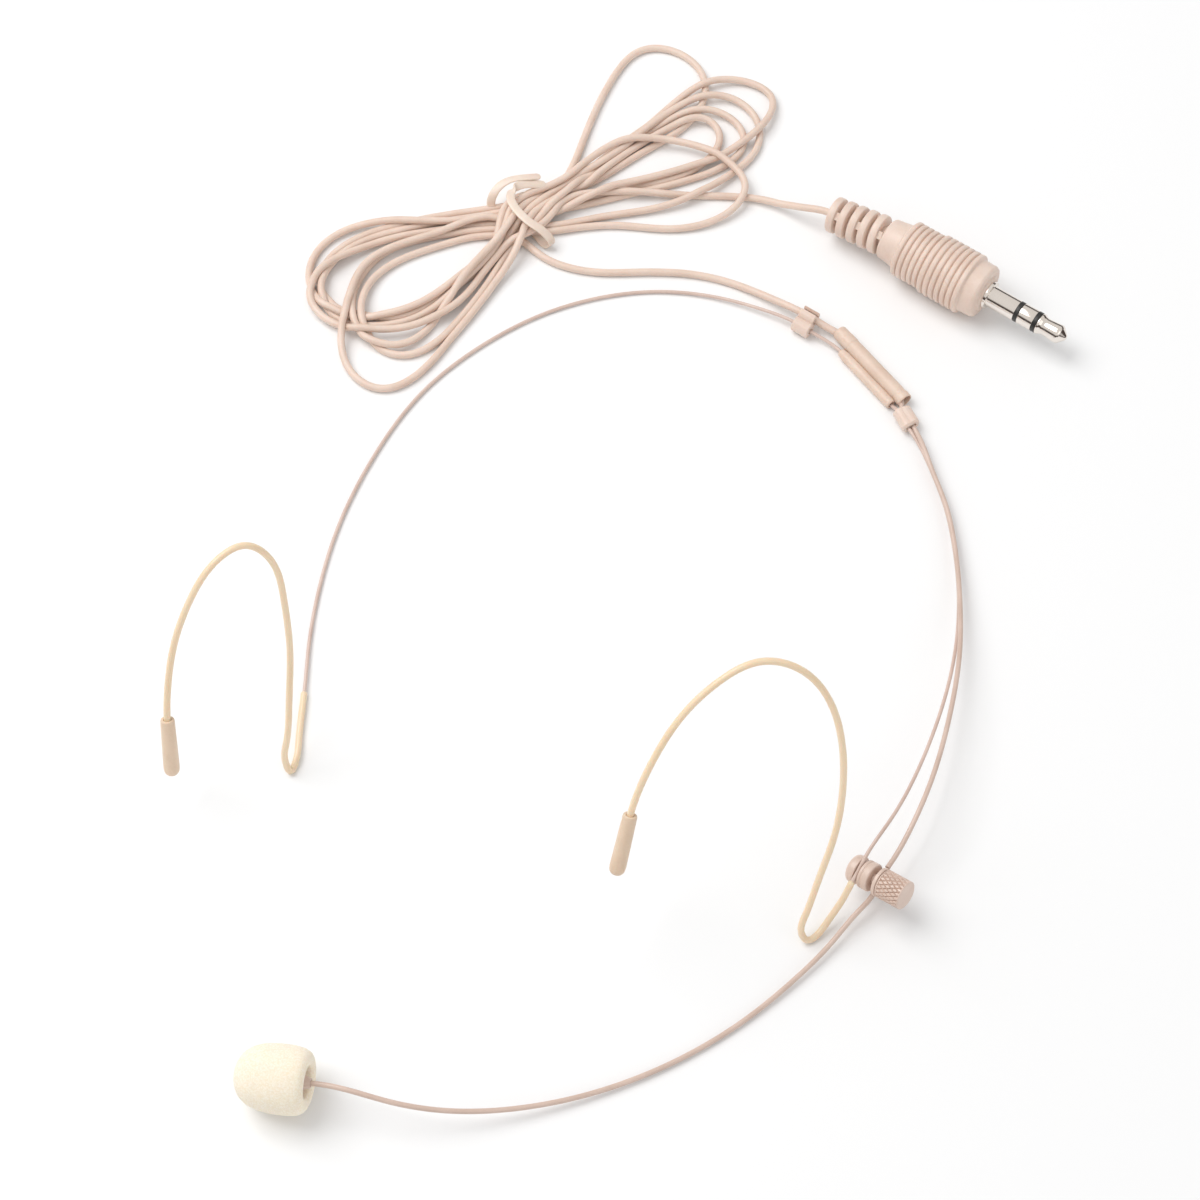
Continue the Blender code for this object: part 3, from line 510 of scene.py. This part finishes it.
def settle(path, rounds):
    """Lets the cord's strands push each other apart, sink and rest on each other."""
    start = path.copy()
    count = len(path)
    floor = CABLE_R + 0.55 * np.exp(-((path[:, 0] - WAIST[0]) ** 2
                                      + (path[:, 1] - WAIST[1]) ** 2) / 14.0)
    held = np.zeros(count, dtype=bool)
    held[:HELD_FIRST] = True
    held[-HELD_LAST:] = True
    free = ~held
    gap = 2 * CABLE_R + 0.02
    apart = 7
    index = np.arange(count)
    for step in range(rounds):
        late = step > rounds * 0.75
        if not late:
            path[free, 2] -= 0.03
        if step % 12 == 0:
            square = (path ** 2).sum(axis=1)
            distance = square[:, None] + square[None, :] - 2 * path @ path.T
            near_a, near_b = np.nonzero((distance < 6.0) & (np.abs(index[:, None] - index) > apart))
        away = path[near_a] - path[near_b]
        distance = np.linalg.norm(away, axis=1)
        close = distance < gap
        a, b = near_a[close], near_b[close]
        if len(a):
            away = away[close]
            gone = distance[close][:, None]
            flat = np.abs(away[:, 2]) < 0.05
            away[flat, 2] = 0.05 * np.where(a[flat] > b[flat], 1.0, -1.0)
            away[:, 0:2] *= 0.45
            away /= np.maximum(np.linalg.norm(away, axis=1), 1e-6)[:, None]
            push = away * (gap - gone) * 0.5
            total = np.zeros_like(path)
            weight = np.zeros(count)
            np.add.at(total, a, push)
            np.add.at(weight, a, 1.0)
            path += np.where(free[:, None], total / np.maximum(weight, 1.0)[:, None] ** 0.5, 0.0)
        for _ in range(2):
            bent = np.zeros_like(path)
            bent[1:-1] = 0.5 * (path[:-2] + path[2:]) - path[1:-1]
            path[free, 2] += 0.35 * bent[free, 2]
            path[free, 0:2] += 0.12 * bent[free, 0:2]
        path[free, 0:2] += 0.04 * (start[free, 0:2] - path[free, 0:2])
        path[free, 2] = np.maximum(path[free, 2], floor[free])
    return path


cord_path = settle(even(natural_spline(cord_knots(), 12), CABLE_STEP), 260)
cord_path = even(natural_spline(cord_path, 2), 0.6)

cord_curve = bpy.data.curves.new("cord", "CURVE")
cord_curve.dimensions = "3D"
cord_curve.bevel_depth = CABLE_R * MM
cord_curve.bevel_resolution = 5
cord_curve.use_fill_caps = True
spline = cord_curve.splines.new("POLY")
spline.points.add(len(cord_path) - 1)
for slot, point in zip(spline.points, cord_path):
    slot.co = (*(point * MM), 1.0)
cord_curve.materials.append(LOOKS["cord"])
cord = bpy.data.objects.new("cord", cord_curve)
scene.collection.objects.link(cord)
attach(cord, "root")
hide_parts("cord_lead", "cord_hank", "cord_tail")


# ---- headband wire, ear hooks and their caps ----------------------------------------------
def wire_route():
    grip = clamp_point(GRIP_ALONG, GRIP_ABOVE)
    guide = [barrel_point(GUIDE_START + part * GUIDE_LENGTH, GUIDE_OFFSET)
             for part in (-0.04, 0.12, 0.32, 0.5, 0.68, 0.88, 1.04)]
    collar = [COLLAR_CENTRE + COLLAR_ACROSS * 0.42 + COLLAR_AXIS * step for step in (-2.0, 0.0, 2.0)]
    clip = [CLIP_CENTRE + CLIP_AXIS * step for step in (-2.2, 2.2)]
    left = [LEFT_TIP + LEFT_TIP_AXIS * step for step in (4.4, 2.2, 0.0)] + LEFT_HOOK
    right = RIGHT_HOOK + [RIGHT_TIP + RIGHT_TIP_AXIS * step for step in (0.0, 2.2, 4.4)]
    clamp = [grip + WIRE_DIRECTION * step for step in (-2.4, 0.0, 2.4)]
    return left, HEADBAND + clip + guide + collar + RIGHT_WIRE + clamp, right


def nearest(path, target):
    return int(np.argmin(np.linalg.norm(path - np.array(tuple(target)), axis=1)))


def wrinkled(path, bend_at, reach):
    """Fine folds of a soft sleeve, strongest where it is bent hardest."""
    distance = np.linalg.norm(path - np.array(bend_at), axis=1)
    run = np.concatenate([[0.0], np.cumsum(np.linalg.norm(np.diff(path, axis=0), axis=1))])
    folds = np.sin(run * 5.2) * 0.045 * np.exp(-(distance / reach) ** 2)
    drift = np.array([noise.noise(Vector((s * 0.35, 0.0, 0.0))) for s in run]) * 0.03
    return folds + drift


left, middle, right = wire_route()
wire_path = even(natural_spline(left + middle + right, 20), 0.5)
left_end = nearest(wire_path, HEADBAND[0])
right_start = nearest(wire_path, clamp_point(GRIP_ALONG, GRIP_ABOVE) + WIRE_DIRECTION * 1.8)

headband = tube("headband", wire_path, WIRE_R, "wire", 14)
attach(headband, "root")
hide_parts("headband_wire")

for name, part, bend in (("left", wire_path[4:left_end], (-42.1, -15.9, 1.0)),
                         ("right", wire_path[right_start:-4], (32.3, -42.5, 1.2))):
    sleeve = tube(f"{name}_sleeve", part, SLEEVE_R, "sleeve", 20, True, wrinkled(part, bend, 2.6))
    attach(sleeve, "root")
    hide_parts(f"{name}_hook_sleeve")

for name, spot, axis in (("left", LEFT_TIP, LEFT_TIP_AXIS), ("right", RIGHT_TIP, RIGHT_TIP_AXIS)):
    outline = [(0.0, CAP_BORE_R), (0.0, 0.95), (0.3, 1.02), (4.0, 1.09), (8.3, 1.16), (9.0, 1.08),
               (9.45, 0.75), (9.6, 0.3), (9.6, 0.0), (CAP_BORE_DEPTH, 0.0),
               (CAP_BORE_DEPTH, CAP_BORE_R)]
    cap = turned(f"{name}_cap", outline, axis_frame(spot, axis, (1, 0, 0)), "tip", 48, 0.25)
    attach(cap, "root")
    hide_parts(f"{name}_tip_cap")


# ---- clamp ----------------------------------------------------------------------------------
clamp_frame = axis_frame(CLAMP_HEAD, CLAMP_AXIS)
screw = turned("screw", [(0.0, 0.0), (0.03, 1.0), (0.12, 1.6), (0.35, 1.95), (0.75, 2.13), (1.2, 2.15),
                         (1.6, 2.15), (1.6, 0.8), (8.5, 0.8), (8.5, 0.0)], clamp_frame, "clamp", 64, 0.1)
spacer = turned("spacer", [(2.32, SCREW_BORE_R), (2.32, 2.05), (2.4, 2.13), (2.72, 2.15), (2.82, 2.02),
                           (2.95, 2.02), (3.05, 2.15), (3.8, 2.15), (3.95, 2.02),
                           (3.95, SCREW_BORE_R)], clamp_frame, "clamp", 64, 0.06)
washer = turned("washer", [(4.86, SCREW_BORE_R), (4.86, 2.12), (4.94, 2.2), (5.32, 2.2), (5.40, 2.12),
                           (5.40, SCREW_BORE_R)], clamp_frame, "clamp", 64, 0.05)


def knurl(along, turn, radius):
    """Crossed grooves that leave small diamonds, fading out at both rims."""
    if radius < 2.0:
        return radius
    fade = max(0.0, min(1.0, (along - KNURL_START) / KNURL_FADE, (KNURL_END - along) / KNURL_FADE))
    one = abs(math.sin(0.5 * (KNURL_ROUND * turn + KNURL_LEAN * along)))
    two = abs(math.sin(0.5 * (KNURL_ROUND * turn - KNURL_LEAN * along)))
    return radius - KNURL_DEPTH * fade * (1.0 - min(1.0, KNURL_WIDTH * min(one, two)))


knob_rim = [(x, 2.15) for x in np.linspace(5.6, 9.36, 78)]
knob_outline = [(5.45, SCREW_BORE_R), (5.45, 1.98), (5.52, 2.1)] + knob_rim + [
    (9.43, 2.12), (9.49, 2.02), (9.5, 1.9), (9.46, 1.2), (9.45, 0.0), (8.8, 0.0), (8.8, SCREW_BORE_R)]
bm = bmesh.new()
lathe(bm, knob_outline, clamp_frame, KNOB_SEGMENTS, knurl)
knob = add_mesh("knob", bm, "clamp", 55.0)
for piece, node, body in ((screw, "clamp_screw", "root"), (spacer, "clamp_spacer", "root"),
                          (washer, "clamp_washer", "washer"), (knob, "clamp_knob", "knob")):
    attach(piece, body)
    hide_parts(node)


# ---- boom and microphone head -----------------------------------------------------------------
pinch = clamp_point(PINCH_ALONG, PINCH_ABOVE)
pinch_along = CLAMP_UP.cross(CLAMP_AXIS)
if pinch_along.y > 0:
    pinch_along.negate()
pinch_along.normalize()
rear_route = [barrel_point(13.1), barrel_point(15.6)]
rear_route += [COLLAR_CENTRE - COLLAR_ACROSS * 0.36 + COLLAR_AXIS * step for step in (-2.0, 0.0, 2.0)]
rear_route += BOOM_REAR + [pinch - pinch_along * 2.22]
front_route = [pinch - pinch_along * 2.0, pinch, pinch + pinch_along * 2.0] + BOOM_FRONT
front_route += [mic_point(-2.4), mic_point(0.0), mic_point(2.6)]
for name, route, node, body in (("boom_rear", rear_route, "boom_rear_tube", "root"),
                                ("boom_front", front_route, "boom_front_tube", "boom")):
    boom = tube(name, even(natural_spline(route, 20), 0.5), BOOM_R, "boom", 16, False)
    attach(boom, body)
    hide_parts(node)

mic_frame = axis_frame(FOAM_MOUTH, FOAM_AXIS)
boot = turned("boot", [(-0.3, 0.47), (-0.3, 0.66), (0.5, 0.95), (1.6, 1.5), (2.5, 1.9), (3.1, 2.0),
                       (3.1, 0.47)], mic_frame, "boom", 48, 0.12)
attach(boot, "boom")
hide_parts("capsule_boot")


def foam_shape(along, turn, radius):
    """Small pits and lumps of cut foam."""
    spot = Vector((along, radius * math.cos(turn), radius * math.sin(turn)))
    lumps = noise.noise(spot * 0.35) * 0.03
    pits = noise.noise(spot * 6.0) * 0.012 + noise.noise(spot * 11.0) * 0.014
    return radius + (lumps + pits) * min(1.0, radius / 2.0)


outside = [(0.35, 2.25), (0.06, 2.6), (-0.02, 3.1), (0.06, 3.6), (0.35, 4.1), (0.9, 4.45), (1.8, 4.68),
           (3.1, 4.78), (4.6, 4.78), (6.0, 4.66), (7.3, 4.36), (8.5, 3.8), (9.4, 3.05), (10.0, 2.1),
           (10.3, 1.1), (10.36, 0.0)]
smooth_out = natural_spline([(x, r, 0.0) for x, r in outside], 8)
foam_outline = [(float(x), max(0.0, float(r))) for x, r, _ in smooth_out]
foam_outline += [(8.8, 0.0), (8.8, 1.8), (8.3, 2.15), (6.0, 2.15), (4.0, 2.15), (2.0, 2.15),
                 (0.6, 2.17)]
bm = bmesh.new()
lathe(bm, foam_outline, mic_frame, FOAM_SEGMENTS, foam_shape)
foam = add_mesh("windscreen_foam", bm, "foam", 80.0)
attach(foam, "windscreen")
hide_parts("foam_windscreen")


# ---- junction, guide tube ------------------------------------------------------------------------
barrel_frame = axis_frame(BARREL_TOP, BARREL_AXIS)
barrel = turned("barrel", [(0.0, 0.98), (0.0, 1.12), (0.2, 1.24), (1.9, 1.25), (2.0, 1.30), (3.3, 1.30),
                           (3.4, 1.25), (14.6, 1.25), (14.9, 1.20), (15.3, 1.20), (15.5, 1.28),
                           (16.4, 1.29), (16.6, 1.20), (16.6, 1.04), (15.9, 0.98)],
                barrel_frame, "barrel", 48, 0.08)
guide_frame = axis_frame(barrel_point(GUIDE_START, GUIDE_OFFSET), BARREL_AXIS)
guide = turned("guide", [(0.0, 0.46), (0.0, 0.56), (0.12, 0.66), (1.4, 0.84), (12.3, 0.86),
                         (12.55, 0.78), (GUIDE_LENGTH, 0.66), (GUIDE_LENGTH, 0.46)],
               guide_frame, "barrel", 40, 0.08)
for piece, node in ((barrel, "junction_barrel"), (guide, "wire_guide_tube")):
    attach(piece, "root")
    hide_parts(node)


# ---- cable tie -------------------------------------------------------------------------------------
def ribbon(name, knots, width, thick, look):
    """A flat strip through (point, width direction) pairs, with rounded edges."""
    line = natural_spline([k[0] for k in knots], 16)
    between = np.linspace(0.0, len(knots) - 1, len(line))
    widths = np.array([k[1] for k in knots], dtype=float)
    spots = np.arange(len(knots))
    across = np.stack([np.interp(between, spots, widths[:, k]) for k in range(3)], axis=1)
    bm = bmesh.new()
    rings = []
    count = len(line)
    for i in range(count):
        ahead = Vector(line[min(i + 1, count - 1)] - line[max(i - 1, 0)]).normalized()
        wide = Vector(across[i])
        wide = (wide - ahead * wide.dot(ahead)).normalized()
        up = ahead.cross(wide)
        end = min(1.0, 0.45 + 0.2 * min(i, count - 1 - i))
        ring = []
        for u, v in ((-0.5, -0.25), (-0.5, 0.25), (-0.38, 0.5), (0.38, 0.5), (0.5, 0.25),
                     (0.5, -0.25), (0.38, -0.5), (-0.38, -0.5)):
            ring.append(bm.verts.new((Vector(line[i]) + wide * u * width * end + up * v * thick) * MM))
        rings.append(ring)
    for a, b in zip(rings, rings[1:]):
        for k in range(8):
            n = (k + 1) % 8
            bm.faces.new((a[k], a[n], b[n], b[k]))
    bm.faces.new(list(reversed(rings[0])))
    bm.faces.new(rings[-1])
    made = add_mesh(name, bm, look, 50.0)
    smooth = made.modifiers.new("smooth", "SUBSURF")
    smooth.levels = 1
    smooth.render_levels = 1
    return made


waist = (np.abs(cord_path[:, 0] - WAIST[0]) < 3.0) & (np.abs(cord_path[:, 1] - WAIST[1]) < 4.0)
top = float(cord_path[waist, 2].max()) + CABLE_R + 0.22
along = (0.72, 0.69, 0.0)
tie = ribbon("tie", [
    ((-5.4, 90.1, 3.2), (0.1, 0.9, 0.3)), ((-8.0, 89.9, top - 0.4), (0.0, 1.0, 0.2)),
    ((-10.2, 88.9, top + 0.1), (0.5, 0.8, 0.1)), ((-11.1, 87.2, top + 0.3), along),
    ((-10.9, 85.6, top + 0.3), along), ((-9.6, 83.5, top + 0.15), along),
    ((-7.9, 81.7, top), along), ((-6.2, 80.6, top - 0.4), along),
    ((-4.9, 79.9, top - 1.5), along), ((-4.4, 79.5, 1.9), along), ((-5.0, 79.7, 0.6), along),
    ((-6.4, 81.3, 0.3), along), ((-9.0, 84.6, 0.28), along), ((-12.2, 86.6, 0.32), along),
    ((-14.3, 87.3, 1.1), (1.0, 0.1, 0.1)), ((-14.2, 88.1, 2.7), (1.0, 0.0, 0.1)),
    ((-12.9, 89.5, 3.9), (0.8, -0.5, 0.1)), ((-11.0, 90.4, 4.4), (0.5, -0.8, 0.2)),
    ((-8.7, 90.9, 4.3), (0.1, -1.0, 0.2)), ((-6.3, 91.5, 3.8), (0.0, -1.0, 0.2)),
], 1.45, 0.42, "tie")
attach(tie, "root")
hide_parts("cable_tie")


# ---- plug ----------------------------------------------------------------------------------
plug_frame = axis_frame(PLUG_SHOULDER, PLUG_AXIS)


def ribs(start, end, count, radius, depth):
    """Outline of a ribbed grip: round-topped ribs with narrow grooves between them."""
    spots = []
    pitch = (end - start) / count
    for k in range(count):
        for part, drop in ((0.0, 1.0), (0.10, 0.55), (0.2, 0.12), (0.35, 0.0), (0.65, 0.0),
                           (0.8, 0.12), (0.90, 0.55)):
            spots.append((start + (k + part) * pitch, radius - depth * drop))
    spots.append((end, radius - depth))
    return spots


body_outline = [(-0.6, 1.8), (-0.6, 2.9), (-0.95, 3.1), (-0.95, 3.9), (-1.15, 4.3), (-1.5, 4.5),
                (-3.55, 4.55)]
body_outline += ribs(-3.65, -11.1, 7, 5.12, 0.42)
body_outline += ribs(-11.25, -16.3, 5, 4.78, 0.42)
body_outline += [(-16.5, 3.9), (-17.2, 3.72), (-18.6, 3.5), (-19.5, 3.4), (-19.8, 3.1), (-19.8, 0.7),
                 (-6.0, 0.7), (-6.0, 1.8)]
plug_body = turned("plug_shell", body_outline, plug_frame, "plastic", 96, 0.04, 30.0)

bm = bmesh.new()
relief_root = PLUG_SHOULDER + PLUG_AXIS * -20.05
relief_frame = axis_frame(relief_root, RELIEF_AXIS)
core = [(0.25, 0.7), (0.25, 1.75), (-9.6, 1.35), (-9.95, 1.2), (-9.95, 0.7)]
lathe(bm, core, relief_frame, 64)
for k in range(RELIEF_RINGS):
    far = -0.55 - k * RELIEF_PITCH
    reach = RELIEF_RING_R - RELIEF_TAPER * k
    back = far - RELIEF_RING_WIDTH
    ring = [(far, 1.2), (far, reach - 0.3), (far - 0.12, reach - 0.08), (far - 0.35, reach),
            (far - 1.0, reach), (far - 1.23, reach - 0.08), (back, reach - 0.3), (back, 1.2)]
    lathe(bm, ring, relief_frame, 64)
    web = relief_frame @ Matrix.Rotation(math.radians(90 * (k % 2) + 40), 4, "X")
    block(bm, web, (far - 0.05, -RELIEF_WEB_HALF, -reach + 0.5),
          (far + 0.75, RELIEF_WEB_HALF, reach - 0.5))
relief = add_mesh("relief", bm, "plastic", 40.0)

# Each contact and insulator runs back into the plug body, inside the next one.
PIN_OUTLINES = {
    "plug_tip": [(-5.5, 0.0), (-5.5, 0.5), (9.0, 0.5), (9.0, 1.68), (9.08, 1.74), (9.35, 1.74),
                 (9.75, 1.50), (10.1, 1.40), (10.5, 1.42), (12.3, 1.56), (12.75, 1.55),
                 (13.0, 1.38), (13.75, 0.62), (13.95, 0.4), (14.0, 0.25), (14.0, 0.0)],
    "plug_insulator_front": [(-4.8, 0.55), (-4.8, 0.8), (8.28, 0.8), (8.28, 1.73), (8.97, 1.73),
                             (8.97, 0.55)],
    "plug_ring": [(-4.0, 0.85), (-4.0, 1.05), (5.7, 1.05), (5.7, 1.75), (8.25, 1.75), (8.25, 0.85)],
    "plug_insulator_rear": [(-3.2, 1.11), (-3.2, 1.32), (4.98, 1.32), (4.98, 1.73), (5.67, 1.73),
                            (5.67, 1.11)],
    "plug_sleeve": [(-2.5, 1.38), (-2.5, 1.7), (-0.9, 1.7), (-0.9, 2.35), (0.0, 2.35), (0.0, 1.75),
                    (4.95, 1.75), (4.95, 1.38)],
}
for node, outline in PIN_OUTLINES.items():
    key = "black" if "insulator" in node else "nickel"
    piece = turned("pin_" + node[5:], outline, plug_frame, key, 64, 0.05)
    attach(piece, "root")
    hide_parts(node)
for piece, node in ((plug_body, "plug_body"), (relief, "strain_relief")):
    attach(piece, "root")
    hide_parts(node)

# ---- CAD nodes that stay --------------------------------------------------------------------
for node, look in (("cable_clip", "plastic"), ("boom_clip", "plastic"), ("splice_tube", "black"),
                   ("capsule_can", "metal"), ("capsule_diaphragm", "brass"), ("capsule_board", "board")):
    for entry in NODES[node].material_slots:
        entry.material = LOOKS[look]

# ---- floor and light ------------------------------------------------------------------------
bm = bmesh.new()
bmesh.ops.create_grid(bm, x_segments=1, y_segments=1, size=2.0)
mesh = bpy.data.meshes.new("floor")
bm.to_mesh(mesh)
bm.free()
floor = bpy.data.objects.new("floor", mesh)
scene.collection.objects.link(floor)
made, _, _ = new_material("floor_look", (0.92, 0.92, 0.92), 0.9)
mesh.materials.append(made)


def studio_world():
    """White light from all round; shiny surfaces also see a dark band along the horizon."""
    world = bpy.data.worlds.new("studio")
    world.use_nodes = True
    tree = world.node_tree
    place = tree.nodes.new("ShaderNodeTexCoord")
    split = tree.nodes.new("ShaderNodeSeparateXYZ")
    band = tree.nodes.new("ShaderNodeValToRGB")
    rays = tree.nodes.new("ShaderNodeLightPath")
    chosen = tree.nodes.new("ShaderNodeMix")
    chosen.data_type = "RGBA"
    background = tree.nodes["Background"]
    band.color_ramp.elements[0].position = 0.30
    band.color_ramp.elements[0].color = (0.10, 0.075, 0.07, 1.0)
    band.color_ramp.elements[1].position = 0.48
    band.color_ramp.elements[1].color = (1.25, 1.22, 1.18, 1.0)
    link = tree.links.new
    link(place.outputs["Generated"], split.inputs[0])
    link(split.outputs["Z"], band.inputs["Fac"])
    link(rays.outputs["Is Glossy Ray"], chosen.inputs["Factor"])
    # Inputs 6 and 7 and output 2 are the mix node's colours.
    chosen.inputs[6].default_value = (1.0, 1.0, 1.0, 1.0)
    link(band.outputs["Color"], chosen.inputs[7])
    link(chosen.outputs[2], background.inputs["Color"])
    background.inputs["Strength"].default_value = 0.62
    return world


scene.world = studio_world()


def area_light(name, location, size, power):
    data = bpy.data.lights.new(name, "AREA")
    data.shape = "SQUARE"
    data.size = size
    data.energy = power
    made = bpy.data.objects.new(name, data)
    scene.collection.objects.link(made)
    made.location = location
    made.rotation_euler = (-Vector(location)).to_track_quat("-Z", "Y").to_euler()


area_light("key", (-0.40, 0.20, 0.70), 0.60, 4.4)
area_light("fill", (0.6, -0.6, 0.5), 0.8, 1.0)

scene.view_settings.view_transform = "Standard"
